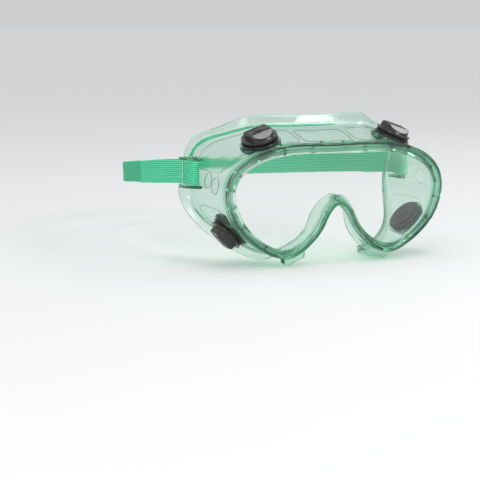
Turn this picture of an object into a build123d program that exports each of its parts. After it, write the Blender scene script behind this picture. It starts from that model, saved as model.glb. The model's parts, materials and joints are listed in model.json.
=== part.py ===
"""Indirect-vent safety goggles: soft moulded frame, clear lens, four capped vents and an elastic headband.

Row frame: X towards the wearer's left, Y towards the back of the head, Z up. The origin is the
middle of the face opening, so the lens lies in front of it at negative Y.
"""
from build123d import *
from math import cos, hypot, radians, sin
import os

os.makedirs("parts", exist_ok=True)

# ---------------------------------------------------------------- driving dimensions, millimetres
LENS_FORWARD = 45.0        # lens middle to the face opening's middle
LENS_THICKNESS = 2.0
LENS_SAG = 3.0             # how far the lens bends back at its two ends
LENS_HALF_SPAN = 78.0      # where that sag is reached

GROOVE_GAP = 0.1           # room beside each face of the lens in the rim's groove
GROOVE_FLOOR = 1.9         # rim material outside the groove
EDGE_GAP = 0.4             # room between the lens edge and the groove's floor
REAR_LIP = 0.65            # rear lip's reach inside the side wall, as a share of the front lip's
LIP_THICKNESS = 1.5        # front lip at its inner edge
BEAD_HEIGHT = 2.6          # raised bead round the front lip
BEAD_CREST = 1.0           # its crest, inwards from the rim's outside
RIM_BACK = 3.8             # rear of the rim, behind the lens middle
REAR_LIP_STEP = 0.6        # the rear lip's inner edge lies this far in front of that
WALL_START = 5.4           # where the side wall leaves the rim
WALL_INSET = 1.6           # step from the rim down to the side wall
WALL = 1.8                 # side wall and face flange thickness

# Half of the frame, from the middle of the brow round the wearer's left to the middle of the nose
# arch. Each station: rim outside x, z; then the crease where the side wall meets the face flange
# and the flange's free edge, each as (outwards from the rim, back from the lens middle).
STATIONS = [
    ((0.0, 33.8), (8.2, 38.0), (16.2, 41.0)),
    ((24.0, 34.1), (8.2, 38.5), (16.4, 42.0)),
    ((42.0, 32.9), (9.0, 41.5), (16.6, 46.0)),
    ((57.0, 29.0), (8.8, 49.5), (13.6, 55.5)),
    ((69.5, 22.6), (7.8, 57.0), (14.2, 58.5)),
    ((77.3, 13.5), (-1.6, 65.0), (3.6, 69.0)),
    ((79.8, 3.0), (-5.0, 66.5), (1.0, 73.0)),
    ((77.9, -7.5), (-4.0, 65.5), (2.2, 69.5)),
    ((72.0, -18.6), (-2.4, 57.0), (3.6, 58.0)),
    ((62.0, -28.4), (-2.0, 42.5), (4.6, 43.0)),
    ((50.0, -36.0), (-1.2, 33.5), (4.8, 33.5)),
    ((38.5, -39.6), (-1.0, 27.0), (4.0, 27.5)),
    ((29.0, -37.0), (-1.4, 20.5), (0.8, 22.0)),
    ((18.6, -29.2), (-1.8, 14.5), (-0.4, 17.5)),
    ((11.2, -20.2), (-2.2, 12.0), (-2.4, 15.5)),
    ((6.2, -11.2), (-3.0, 10.0), (-4.0, 13.0)),
    ((0.0, -6.7), (-4.0, 8.0), (-5.6, 10.5)),
]
# Front lip's inner edge at each station, inwards from the rim's outside: narrow low down and beside the nose.
LIP_REACHES = [6.8] * 8 + [6.2, 5.3, 5.2, 6.2, 5.4, 4.0, 3.9, 4.4, 7.0]

VENT_SEAT_R = 13.4         # flat boss under each vent
VENT_SEAT_DEPTH = 3.4
VENT_POCKET_GAP = 0.2      # room round the retainer inside the frame
VENT_HOLE_R = 9.0
VENT_FLANGE_R = 12.2
VENT_FLANGE = 1.5
VENT_FLANGE_ROUND = 0.5
VENT_TUBE_R = 8.9
VENT_TUBE_BORE = 7.6
VENT_TUBE_LENGTH = 6.0     # below the flange
VENT_COMB_R = 10.8         # comb of air slots between the flange and the cap
VENT_COMB_COUNT = 48
VENT_COMB_TOOTH = (1.8, 0.7)
VENT_COMB_HEIGHT = 1.5
VENT_PIN_R = 1.9
VENT_PIN_TOP = 5.4
SPIDER_ARM = (1.6, 1.2)    # arms that carry the pin: wide, high
SPIDER_ROOT = 0.3          # how far an arm runs into the tube
SPIDER_TURNS = (45, 135)   # degrees, each bar makes two arms
CAP_R = 11.7
CAP_TOP = 8.6              # above the seat
CAP_BRIM = 1.3
CAP_BRIM_ROUND = 0.4
CAP_BRIM_STEP = 0.8        # brim beyond the foot of the dome
CAP_EDGE_ROUND = 0.7
CAP_ROOF = 1.6
CAP_WALL = 1.2
CAP_FLAT = 7.9             # half the width across the two grip flats
CAP_BAR = (9.0, 2.4, 0.4)  # raised bar on the cap: long, wide, high
CAP_SINK = 0.1             # how deep the bar and the hub start inside the cap
CAP_HUB_WALL = 1.4
CAP_RUN = 0.05             # running gap of the cap on its pin and over the comb
CAP_TAPER = 14.0           # degrees, slope of the cap's round side
RETAINER_R = 11.6
RETAINER_HEIGHT = 2.0
RETAINER_ROUND = 0.6
VENT_SWEEP = 8.0           # how far a seat's hole is cut in and out of the wall
BAFFLE_THICKNESS = 0.9
BAFFLE_LIFT = 0.6          # its face inside the tube's rear end
BAFFLE_ARM = (9.0, 1.2, 0.6)    # raised cross: long, wide, high
BAFFLE_ARM_RISE = 0.4      # how far the cross stands out
BAFFLE_TURNS = (0, 90)     # degrees
BAFFLE_HOLES = (5.2, 8, 0.9)    # ring radius, count, hole radius

TOP_VENT = ((48.7, 15.2, 34.7), (0.31, -0.24, 0.92))    # middle of the seat (y from the lens), outward axis
LOW_VENT = ((66.9, 22.5, -22.4), (0.73, 0.03, -0.68))

BAND_WIDTH = 15.0
BAND_THICKNESS = 1.3
BAND_Z = 13.0              # strap's middle height at the loops
BAND_TILT = -5.0           # degrees, the strap falls towards the back
LOOP_BAR = (79.6, 47.5)    # bar that the strap turns round: x, and y from the lens
LOOP_BAR_R = 1.5
KEEPER_BAR = (84.6, 58.6)  # bar that holds the strap's free end down
KEEPER_BAR_R = 1.1
LOOP_RAIL = 1.9
LOOP_RAIL_GAP = 0.6        # between a rail and the strap's edge
FLEX_LINE = 64.5           # the band swings from here, back from the lens
FLEX_GAP = 0.3
BACK_HALF_WIDTH = 86.0     # the band round the head: half width, its place and the rear
BACK_WIDEST = 130.0
BACK_END = 240.0
TAIL_END = 118.0           # free end of the doubled strap, back from the lens
TAIL_STEP = 0.12           # share of the side curve between the tail's points
STRAP_ON_BAR = 0.05
LAYER_GAP = 0.1
FLEX_X = 81.6              # under run's middle on the flex line
FLEX_SLOPE = 0.22          # outward slope of the strap there
LOOP_MARGIN = 3.0
LOOP_SLANT_END = 1.5       # the rail's slanted edge ends this far in front of the keeper bar
LOOP_REAR_MARGIN = 2.0
LOOP_CORNER = 1.0
LOOP_ROOT_X = 75.0         # inside the side wall

TAB_THICKNESS = 3.0        # grip tabs under the rim beside the nose
TAB_MIDDLE = (28.0, 6.3)   # x, and y from the lens
TAB_TURN = 21.0            # degrees, the outer end lies further forward
TAB_OUTLINE = [(-8.2, -36.2), (-8.2, -40.6), (7.7, -44.3), (12.3, -42.0), (12.3, -38.0), (1.0, -34.0)]
TAB_CORNER = 0.8

FAR = 400.0                # longer than the whole object, for cutting tools


# ---------------------------------------------------------------- shared geometry
def row_y(back):
    """Row Y of a depth measured back from the lens middle."""
    return back - LENS_FORWARD


def lens_bend(x):
    """How far the bent lens lies back at a given x."""
    return LENS_SAG * (x / LENS_HALF_SPAN) ** 2


def rim_shares():
    """Distance along the rim outline's stations, the shared parameter of every rail."""
    shares = [0.0]
    for (first, _, _), (second, _, _) in zip(STATIONS, STATIONS[1:]):
        shares.append(shares[-1] + hypot(second[0] - first[0], second[1] - first[1]))
    return shares


def rail(points):
    """Smooth half-ring through one point per station, square to the middle plane at both ends."""
    return Edge.make_spline(points, tangents=[(1, 0, 0), (-1, 0, 0)], parameters=rim_shares())


def outward_normals():
    """Unit normals of the rim outline at the stations, in the XZ plane and pointing out of the lens."""
    line = rail([Vector(x, 0, z) for (x, z), _, _ in STATIONS])
    length = rim_shares()[-1]
    tangents = [line.tangent_at(share / length, PositionMode.PARAMETER) for share in rim_shares()]
    return [Vector(-t.Z, 0, t.X).normalized() for t in tangents]


def mirrored(shape):
    """The same shape on the wearer's other side."""
    return shape.mirror(Plane.YZ)


def inner_corner(before, corner, after):
    """The corner moved inwards by the wall thickness, for a wall bent at that corner."""
    def inward_normal(a, b):
        out, back = b[0] - a[0], b[1] - a[1]
        size = hypot(out, back)
        return -back / size, out / size
    first, second = inward_normal(before, corner), inward_normal(corner, after)
    stretch = WALL / (1 + first[0] * second[0] + first[1] * second[1])
    return corner[0] + stretch * (first[0] + second[0]), corner[1] + stretch * (first[1] + second[1])


def frame_section(station, normal, lip):
    """Corners of the frame's wall at one station: rim channel, side wall and face flange."""
    (x, z), crease, edge = station
    half_groove = LENS_THICKNESS / 2 + GROOVE_GAP
    wall_top = (-WALL_INSET, WALL_START)
    crease_in = inner_corner(wall_top, crease, edge)
    size = hypot(edge[0] - crease[0], edge[1] - crease[1])
    edge_in = (edge[0] - WALL * (edge[1] - crease[1]) / size, edge[1] + WALL * (edge[0] - crease[0]) / size)
    wall_inside = WALL_INSET + WALL
    rear_lip = wall_inside + REAR_LIP * (lip - wall_inside)
    rim_front = [
        (-lip, -half_groove),
        (-lip, -half_groove - LIP_THICKNESS),
        (-BEAD_CREST, -half_groove - BEAD_HEIGHT),
        (0.0, -half_groove - LIP_THICKNESS),
        (0.0, RIM_BACK),
        wall_top,
    ]
    rim_inside = [
        (-wall_inside, WALL_START),
        (-rear_lip, RIM_BACK - REAR_LIP_STEP),
        (-rear_lip, half_groove),
        (-GROOVE_FLOOR, half_groove),
        (-GROOVE_FLOOR, -half_groove),
    ]

    def place(out, back, bends):
        point = Vector(x, 0, z) + normal * out
        bend = lens_bend(point.X) if bends else 0.0
        return Vector(point.X, row_y(back + bend), point.Z)

    points = [place(*p, True) for p in rim_front]
    points += [place(*p, False) for p in (crease, edge, edge_in, crease_in)]
    return points + [place(*p, True) for p in rim_inside]


def half_shell():
    """The frame's wall on the wearer's left: one face between each two rails, closed at the middle."""
    sections = [frame_section(*place) for place in zip(STATIONS, outward_normals(), LIP_REACHES)]
    rails = [rail(points) for points in zip(*sections)]
    faces = [Face.make_surface_from_curves(a, b) for a, b in zip(rails, rails[1:] + rails[:1])]
    faces += [Face(Wire.make_polygon(section, close=True)) for section in (sections[0], sections[-1])]
    return Solid(Shell(faces))


# ---------------------------------------------------------------- vents
def vent_plane(vent, side):
    """Plane on a vent's seat: its Z is the outward axis. side is 1 for the wearer's left."""
    (x, back, z), (ax, ay, az) = vent
    normal = Vector(ax * side, ay, az).normalized()
    across = Vector(0, 1, 0)
    x_dir = (across - normal * across.dot(normal)).normalized()
    return Plane(origin=(x * side, row_y(back), z), x_dir=x_dir, z_dir=normal)


def disc(radius, low, high):
    return Pos(0, 0, (low + high) / 2) * Cylinder(radius, high - low)


def ring(outer, inner, low, high):
    return disc(outer, low, high) - disc(inner, low, high)


def outer_circle(body, at_top):
    """The widest circular edge at the top or the bottom of a round body."""
    level = body.edges().filter_by(GeomType.CIRCLE).group_by(Axis.Z)[-1 if at_top else 0]
    return level.sort_by(SortBy.RADIUS)[-1:]


def vent_body():
    """Flange, tube through the frame, comb of air slots and the cap's pin on a four-arm spider."""
    body = ring(VENT_FLANGE_R, VENT_TUBE_BORE, 0, VENT_FLANGE)
    body = fillet(outer_circle(body, True), VENT_FLANGE_ROUND)
    body += ring(VENT_TUBE_R, VENT_TUBE_BORE, -VENT_TUBE_LENGTH, 0)
    length, width = VENT_COMB_TOOTH
    tooth = Box(length, width, VENT_COMB_HEIGHT)
    tooth = Pos(VENT_COMB_R - length / 2, 0, VENT_FLANGE + VENT_COMB_HEIGHT / 2) * tooth
    body += PolarLocations(0, VENT_COMB_COUNT) * tooth
    arm_width, arm_height = SPIDER_ARM
    arm = Box(2 * (VENT_TUBE_BORE + SPIDER_ROOT), arm_width, arm_height)
    for turn in SPIDER_TURNS:
        body += Rot(0, 0, turn) * Pos(0, 0, VENT_FLANGE - arm_height / 2) * arm
    return body + disc(VENT_PIN_R, VENT_FLANGE - arm_height, VENT_PIN_TOP)


def vent_cap():
    """Round cap with a thin brim, two flat grip sides, a raised bar and a hub for the pin."""
    base = VENT_FLANGE + VENT_COMB_HEIGHT + CAP_RUN
    brim = disc(CAP_R, base, base + CAP_BRIM)
    brim = fillet(outer_circle(brim, True), CAP_BRIM_ROUND)
    foot = Circle(CAP_R - CAP_BRIM_STEP)
    dome = Pos(0, 0, base + CAP_BRIM) * extrude(foot, CAP_TOP - base - CAP_BRIM, taper=CAP_TAPER)
    dome &= Box(FAR, 2 * CAP_FLAT, FAR)
    dome = fillet(dome.faces().sort_by(Axis.Z)[-1].edges(), CAP_EDGE_ROUND)
    length, width, height = CAP_BAR
    bar = Pos(0, 0, CAP_TOP + (height - CAP_SINK) / 2) * Box(length, width, height + CAP_SINK)
    cap = brim + dome + bar - disc(CAP_FLAT - CAP_WALL, 0, CAP_TOP - CAP_ROOF)
    bore = VENT_PIN_R + CAP_RUN
    return cap + ring(bore + CAP_HUB_WALL, bore, base, CAP_TOP - CAP_ROOF + CAP_SINK)


def vent_retainer():
    """Ring pressed on the tube inside the frame, holding the wall against the flange."""
    low = -VENT_SEAT_DEPTH - RETAINER_HEIGHT
    body = ring(RETAINER_R, VENT_TUBE_R, low, low + RETAINER_HEIGHT)
    return fillet(outer_circle(body, False), RETAINER_ROUND)


def vent_baffle():
    """Disc with a raised cross and air holes, in the mouth of the tube."""
    low = -VENT_TUBE_LENGTH + BAFFLE_LIFT
    body = disc(VENT_TUBE_BORE, low, low + BAFFLE_THICKNESS)
    length, width, height = BAFFLE_ARM
    for turn in BAFFLE_TURNS:
        body += Rot(0, 0, turn) * Pos(0, 0, low - BAFFLE_ARM_RISE + height / 2) * Box(length, width, height)
    ring_r, count, hole_r = BAFFLE_HOLES
    drill = disc(hole_r, low - BAFFLE_THICKNESS, low + 2 * BAFFLE_THICKNESS)
    return body - Rot(0, 0, 180 / count) * PolarLocations(ring_r, count) * drill


# ---------------------------------------------------------------- headband
def plan(x, back):
    return x, row_y(back)


def strap_curves():
    """Strap middle lines on the wearer's left, in plan: under run, turn round the bar, outer run."""
    bar_x, bar_back = LOOP_BAR
    turn_r = LOOP_BAR_R + STRAP_ON_BAR + BAND_THICKNESS / 2
    stack = BAND_THICKNESS + LAYER_GAP
    leave = (FLEX_SLOPE, 1)
    inside, outside = plan(bar_x - turn_r, bar_back), plan(bar_x + turn_r, bar_back)
    under = Spline([inside, plan(FLEX_X, FLEX_LINE)], tangents=[(0, 1), leave])
    turn = ThreePointArc(inside, plan(bar_x, bar_back - turn_r), outside)
    outer = Spline([outside, plan(FLEX_X + stack, FLEX_LINE)], tangents=[(0, 1), leave])
    side = Spline([plan(FLEX_X, FLEX_LINE), plan(BACK_HALF_WIDTH, BACK_WIDEST)], tangents=[leave, (0, 1)])
    back = EllipticalCenterArc(plan(0, BACK_WIDEST), BACK_HALF_WIDTH, BACK_END - BACK_WIDEST, arc_size=90)
    return under, turn, outer, side, back


def tail_curve(side):
    """Middle line of the free end, lying on the band beside the head."""
    stack = BAND_THICKNESS + LAYER_GAP
    points = []
    share = 0.0
    while (side @ share).Y < row_y(TAIL_END):
        direction = side % share
        points.append((side @ share) + Vector(direction.Y, -direction.X) * stack)
        share += TAIL_STEP
    start = side % 0
    end = side % share
    return Spline(points, tangents=[(start.X, start.Y), (end.X, end.Y)])


def strip(*curves):
    """A strap of the band's thickness and width along plan curves, level about z = 0."""
    runs = [extrude(trace(curve, BAND_THICKNESS), BAND_WIDTH / 2, both=True) for curve in curves]
    return runs[0].fuse(*runs[1:]) if runs[1:] else runs[0]


def flex_zone(radius):
    """Round end about the flex line together with everything behind it."""
    zone = Pos(0, row_y(FLEX_LINE), 0) * Rot(0, 90, 0) * Cylinder(radius, FAR)
    return zone + Pos(0, row_y(FLEX_LINE) + FAR / 2, 0) * Box(FAR, FAR, FAR)


def lay(shape, tilt=0.0):
    """Move a level strap to its height, swung about the flex line by a tilt in degrees."""
    y = row_y(FLEX_LINE)
    return Pos(0, y, BAND_Z) * Rot(tilt, 0, 0) * Pos(0, -y, 0) * shape


def headband_parts():
    """The band round the head, and per side the turn round the loop's bar and the free end."""
    under, turn, outer, side, back = strap_curves()
    tail = tail_curve(side)
    moving = flex_zone(BAND_WIDTH / 2)
    half_band = strip(under, side, back) & moving
    band = lay(half_band + mirrored(half_band), BAND_TILT)
    free_end = lay(strip(outer, tail) & moving, BAND_TILT)
    turn_part = lay(strip(under, turn, outer) - flex_zone(BAND_WIDTH / 2 + FLEX_GAP))
    return band, free_end, turn_part


# ---------------------------------------------------------------- frame body
def strap_loop():
    """Moulded loop on the side wall: two rails, the bar the strap turns round and the keeper bar."""
    bar_x, bar_back = LOOP_BAR
    keeper_x, keeper_back = KEEPER_BAR
    half = BAND_WIDTH / 2 + LOOP_RAIL_GAP
    front, rear = bar_back - LOOP_MARGIN, keeper_back + LOOP_REAR_MARGIN
    corners = [
        plan(LOOP_ROOT_X, front),
        plan(bar_x, front),
        plan(keeper_x + KEEPER_BAR_R, keeper_back - LOOP_SLANT_END),
        plan(keeper_x + KEEPER_BAR_R, rear),
        plan(LOOP_ROOT_X, rear),
    ]
    outline = make_face(Polyline(*corners, close=True))
    outline = fillet(outline.vertices().sort_by(Axis.X)[-3:], LOOP_CORNER)
    rail_plate = extrude(outline, LOOP_RAIL)
    loop = [Pos(0, 0, BAND_Z + low) * rail_plate for low in (-half - LOOP_RAIL, half)]
    for (x, back), radius in ((LOOP_BAR, LOOP_BAR_R), (KEEPER_BAR, KEEPER_BAR_R)):
        loop.append(Pos(x, row_y(back), BAND_Z) * Cylinder(radius, 2 * half + LOOP_RAIL))
    return loop


def grip_tab():
    """Flat plate under the rim beside the nose, turned so that its outer end lies forward."""
    x, back = TAB_MIDDLE
    turn = radians(TAB_TURN)
    along = (cos(turn), -sin(turn), 0)
    through = (-sin(turn), -cos(turn), 0)
    plane = Plane(origin=(x, row_y(back), 0), x_dir=along, z_dir=through)
    outline = make_face(Polyline(*TAB_OUTLINE, close=True))
    outline = fillet(outline.vertices().sort_by(Axis.Y)[:4], TAB_CORNER)
    return plane * extrude(outline, TAB_THICKNESS / 2, both=True)


def frame_body():
    """One soft moulding: rim, side walls, face flange, vent seats, strap loops and grip tabs."""
    half = half_shell()
    vents = (TOP_VENT, LOW_VENT)
    hole = disc(VENT_HOLE_R, -VENT_SEAT_DEPTH - VENT_SWEEP, VENT_SWEEP)
    pocket = disc(RETAINER_R + VENT_POCKET_GAP, -VENT_SEAT_DEPTH - RETAINER_HEIGHT, -VENT_SEAT_DEPTH)
    for vent in vents:
        half += vent_plane(vent, 1) * disc(VENT_SEAT_R, -VENT_SEAT_DEPTH, 0)
    for vent in vents:
        seat = vent_plane(vent, 1)
        half -= seat * hole
        half -= seat * pocket
    half = half.fuse(*strap_loop(), grip_tab())
    return half + mirrored(half)


def lens():
    """Bent sheet whose edge sits in the rim's groove."""
    inset = GROOVE_FLOOR + EDGE_GAP
    rim = zip(STATIONS, outward_normals())
    edge = rail([Vector(x, 0, z) - normal * inset for ((x, z), _, _), normal in rim])
    outline = make_face([edge, mirrored(edge)])
    blank = extrude(outline, LENS_FORWARD / 2, both=True)
    radius = LENS_HALF_SPAN ** 2 / (2 * LENS_SAG)
    axis = Pos(0, row_y(radius), 0)
    half = LENS_THICKNESS / 2
    sheet = axis * (Cylinder(radius + half, FAR) - Cylinder(radius - half, FAR))
    return (Pos(0, row_y(0), 0) * blank) & sheet


# ---------------------------------------------------------------- write one file per node
def save(node, shape):
    export_step(shape, f"parts/{node}.step")


def main():
    save("frame_body", frame_body())
    save("lens", lens())
    makers = {"body": vent_body, "cap": vent_cap, "retainer": vent_retainer, "baffle": vent_baffle}
    pieces = {kind: make() for kind, make in makers.items()}
    for place, vent in (("top", TOP_VENT), ("low", LOW_VENT)):
        for hand, side in (("left", 1), ("right", -1)):
            seat = vent_plane(vent, side)
            for kind, piece in pieces.items():
                save(f"vent_{kind}_{place}_{hand}", seat * piece)
    band, free_end, turn_part = headband_parts()
    save("headband", band)
    for hand, place in (("left", lambda shape: shape), ("right", mirrored)):
        save(f"headband_tail_{hand}", place(free_end))
        save(f"headband_turn_{hand}", place(turn_part))


main()
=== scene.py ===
"""Looks of the indirect-vent safety goggles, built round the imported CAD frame.

Shapes are worked out in millimetres in the row frame (X to the wearer's left, Y to the back of the
head, Z up) and turned into metres when a mesh is made.
"""
import json
import math

import bmesh
import bpy
import numpy as np
from mathutils import Matrix, Vector


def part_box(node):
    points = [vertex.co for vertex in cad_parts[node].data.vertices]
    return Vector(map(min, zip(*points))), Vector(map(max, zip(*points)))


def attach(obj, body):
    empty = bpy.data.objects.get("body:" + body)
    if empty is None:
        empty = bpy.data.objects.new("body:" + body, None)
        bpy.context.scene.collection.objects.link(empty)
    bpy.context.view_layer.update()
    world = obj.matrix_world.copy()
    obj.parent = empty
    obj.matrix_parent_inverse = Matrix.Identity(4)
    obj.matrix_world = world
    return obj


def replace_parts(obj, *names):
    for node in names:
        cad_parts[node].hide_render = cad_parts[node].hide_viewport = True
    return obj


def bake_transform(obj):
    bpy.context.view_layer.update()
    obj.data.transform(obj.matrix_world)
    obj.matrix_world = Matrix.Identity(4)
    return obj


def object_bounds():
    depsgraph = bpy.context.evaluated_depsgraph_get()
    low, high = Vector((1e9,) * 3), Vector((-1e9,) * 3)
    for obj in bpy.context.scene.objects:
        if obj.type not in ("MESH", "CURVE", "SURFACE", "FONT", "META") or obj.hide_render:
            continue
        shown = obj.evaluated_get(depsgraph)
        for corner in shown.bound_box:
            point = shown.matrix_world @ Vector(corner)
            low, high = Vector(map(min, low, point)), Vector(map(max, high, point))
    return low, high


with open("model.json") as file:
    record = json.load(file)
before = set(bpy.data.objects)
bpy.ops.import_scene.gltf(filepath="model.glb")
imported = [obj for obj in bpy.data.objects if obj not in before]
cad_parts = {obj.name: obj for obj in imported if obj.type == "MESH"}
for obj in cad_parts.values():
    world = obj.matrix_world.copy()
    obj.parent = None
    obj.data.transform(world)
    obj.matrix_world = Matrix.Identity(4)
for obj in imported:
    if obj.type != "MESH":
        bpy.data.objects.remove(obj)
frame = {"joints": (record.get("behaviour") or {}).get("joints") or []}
cad_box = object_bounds()

MM = 0.001

# ---------------------------------------------------------------- sizes, millimetres
LENS_THICKNESS = 2.0
LENS_FORWARD = -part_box("lens")[0][1] / MM - LENS_THICKNESS / 2    # lens middle to the face opening
LENS_SAG = 3.0
LENS_HALF_SPAN = 78.0
GROOVE = 1.1               # half the lens groove's width
GROOVE_FLOOR = 1.9
EDGE_GAP = 0.4
REAR_LIP = 0.65            # rear lip's reach inside the side wall, as a share of the front lip's
RIM_BACK = 3.8
WALL_START = 5.4
WALL_INSET = 1.6
WALL = 1.8

# Half of the frame from the middle of the brow round to the middle of the nose arch, as in the CAD
# source: rim outside x, z; crease and free edge of the face flange as (outwards, back).
STATIONS = [
    ((0.0, 33.8), (8.2, 38.0), (16.2, 41.0)),
    ((24.0, 34.1), (8.2, 38.5), (16.4, 42.0)),
    ((42.0, 32.9), (9.0, 41.5), (16.6, 46.0)),
    ((57.0, 29.0), (8.8, 49.5), (13.6, 55.5)),
    ((69.5, 22.6), (7.8, 57.0), (14.2, 58.5)),
    ((77.3, 13.5), (-1.6, 65.0), (3.6, 69.0)),
    ((79.8, 3.0), (-5.0, 66.5), (1.0, 73.0)),
    ((77.9, -7.5), (-4.0, 65.5), (2.2, 69.5)),
    ((72.0, -18.6), (-2.4, 57.0), (3.6, 58.0)),
    ((62.0, -28.4), (-2.0, 42.5), (4.6, 43.0)),
    ((50.0, -36.0), (-1.2, 33.5), (4.8, 33.5)),
    ((38.5, -39.6), (-1.0, 27.0), (4.0, 27.5)),
    ((29.0, -37.0), (-1.4, 20.5), (0.8, 22.0)),
    ((18.6, -29.2), (-1.8, 14.5), (-0.4, 17.5)),
    ((11.2, -20.2), (-2.2, 12.0), (-2.4, 15.5)),
    ((6.2, -11.2), (-3.0, 10.0), (-4.0, 13.0)),
    ((0.0, -6.7), (-4.0, 8.0), (-5.6, 10.5)),
]
# Front lip's inner edge at each station, inwards from the rim's outside.
LIP_REACHES = [6.8] * 8 + [6.2, 5.3, 5.2, 6.2, 5.4, 4.0, 3.9, 4.4, 7.0]
RING_STEP = 0.8            # spacing of the sections round the frame

# Pegs that hold the lens in the rim, and small blocks on the rim's outside: places x, z on the rim
PEGS = [(19.4, 31), (39.8, 30), (71.5, 16), (75, 6), (75, -5), (68, -19), (53, -32), (7, -12.5)]
PEG_WIDTH, PEG_HALF, PEG_BACK = 1.7, 2.7, 0.2
PEG_ROOT, PEG_SHORT = 0.1, 0.8    # how far a peg starts inside the rim and ends short of the lip's edge
NOTCH_GAP, NOTCH_SHORT = 0.35, 0.4    # room beside a peg; a notch ends this far short of the lip's edge
NOTCH_OUT, NOTCH_LENGTH = 1.6, 6.0    # the cutter beyond the rim's outside, and from front to back
RIM_BLOCKS = [(8.0, 34), (37.0, 33)]
RIM_BLOCK_SIZE, RIM_BLOCK_OUT, RIM_BLOCK_BACK = (7.5, 1.8, 3.0), 0.2, 1.8

VENT_SEAT_R, VENT_SEAT_DEPTH, VENT_HOLE_R = 13.4, 3.4, 9.0
VENT_SWEEP = 8.0           # how far a seat's hole is cut in and out of the wall
RETAINER_R, RETAINER_BORE, RETAINER_HEIGHT, POCKET_GAP = 11.6, 8.95, 2.0, 0.2
TUBE_R, TUBE_BORE, TUBE_LENGTH = 8.9, 7.6, 6.0
VENT_FLANGE_R, VENT_FLANGE = 12.2, 1.5
COMB_COUNT, COMB_TOOTH, COMB_R, COMB_HEIGHT = 60, (2.6, 0.5, 1.6), 9.7, 2.2
BAFFLE_LOW, BAFFLE_THICKNESS, BAFFLE_ROLL = -5.4, 0.9, 0.5    # inner face, plate, rolled edge's height
BAFFLE_ARM, BAFFLE_ARM_SINK = (9.4, 1.1, 0.9), 0.15
BAFFLE_STUDS, BAFFLE_STUD_RING, BAFFLE_STUD_R = 8, 4.2, 0.65

BAND_WIDTH, BAND_THICKNESS, BAND_Z, BAND_TILT = 15.0, 1.3, 13.0, -5.0
LOOP_BAR, LOOP_BAR_R = (79.6, 47.5), 1.5
KEEPER_BAR, KEEPER_BAR_R = (84.6, 58.6), 1.1
LOOP_RAIL, LOOP_RAIL_GAP, LOOP_ROOT_X = 1.9, 0.6, 75.0
LOOP_MARGIN, LOOP_REAR_MARGIN, LOOP_SLANT_END = 3.0, 2.0, 1.5
FLEX_LINE, FLEX_X, FLEX_SLOPE = 64.5, 81.6, 0.22
BACK_HALF_WIDTH, BACK_WIDEST, BACK_END, TAIL_END = 86.0, 130.0, 240.0, 118.0
STRAP_RIBS, STRAP_NARROWED = 11, 0.07    # ribs across, and how much narrower the stretched part is
RIB_STEPS = 8              # points across one rib
RIB_VALLEY, RIB_HEIGHT = 0.28, 0.37    # half thickness between ribs, and a rib above that
STRAP_ON_BAR, LAYER_GAP = 0.05, 0.1
TAIL_LIFT, TAIL_LIFT_RUN = 1.0, 18    # how far the free end stands off the band, over its last part

TAB_THICKNESS, TAB_MIDDLE, TAB_TURN = 3.0, (28.0, 6.3), 21.0
TAB_OUTLINE = [(-8.2, -36.2), (-8.2, -40.6), (7.7, -44.3), (12.3, -42.0), (12.3, -38.0), (1.0, -34.0)]


# ---------------------------------------------------------------- mesh helpers
def new_object(name, points, faces):
    """Object from points in millimetres."""
    mesh = bpy.data.meshes.new(name)
    mesh.from_pydata((np.asarray(points, float) * MM).tolist(), [], [tuple(int(i) for i in f) for f in faces])
    mesh.validate()
    made = bpy.data.objects.new(name, mesh)
    bpy.context.scene.collection.objects.link(made)
    return made


def finished(name, work):
    """Object from a bmesh, which is used up."""
    mesh = bpy.data.meshes.new(name)
    work.to_mesh(mesh)
    work.free()
    made = bpy.data.objects.new(name, mesh)
    bpy.context.scene.collection.objects.link(made)
    return made


def grid_faces(rows, columns, wrap_rows=False, wrap_columns=False, start=0):
    """Quads between neighbours in a grid of points numbered row by row."""
    faces = []
    for i in range(rows if wrap_rows else rows - 1):
        for j in range(columns if wrap_columns else columns - 1):
            a, b = i * columns, (i + 1) % rows * columns
            k = (j + 1) % columns
            faces.append((start + a + j, start + b + j, start + b + k, start + a + k))
    return faces


def outward(obj, merge=True):
    """Faces of a closed mesh turned outwards. Merging points would lose values stored on them."""
    work = bmesh.new()
    work.from_mesh(obj.data)
    if merge:
        bmesh.ops.remove_doubles(work, verts=work.verts, dist=1e-7)
    bmesh.ops.recalc_face_normals(work, faces=work.faces)
    work.to_mesh(obj.data)
    work.free()
    return obj


def smooth(obj, degrees=35.0):
    """Smooth shading with edges sharper than an angle kept."""
    obj.data.shade_smooth()
    obj.data.set_sharp_from_angle(angle=math.radians(degrees))
    return obj


def join(name, pieces):
    """One object out of several."""
    work = bmesh.new()
    for piece in pieces:
        piece.data.transform(piece.matrix_basis)
        work.from_mesh(piece.data)
        bpy.data.objects.remove(piece)
    return finished(name, work)


def boolean(obj, other, operation):
    """obj joined with or cut by a closed mesh, which is used up."""
    modifier = obj.modifiers.new("cut", "BOOLEAN")
    modifier.object = other
    modifier.operation = operation
    modifier.solver = "MANIFOLD"
    graph = bpy.context.evaluated_depsgraph_get()
    result = bpy.data.meshes.new_from_object(obj.evaluated_get(graph))
    obj.modifiers.clear()
    if len(result.polygons) == 0:
        raise RuntimeError(f"{operation} with {other.name} left nothing")
    obj.data = result
    bpy.data.objects.remove(other)
    return obj


def placed(obj, origin, x_dir, y_dir, z_dir):
    """Mesh moved from a local frame (millimetres about its own origin) to the row frame."""
    axes = Matrix([[x_dir[i], y_dir[i], z_dir[i], origin[i] * MM] for i in range(3)] + [[0, 0, 0, 1]])
    obj.data.transform(axes)
    if axes.determinant() < 0:
        obj.data.flip_normals()
    return obj


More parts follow.
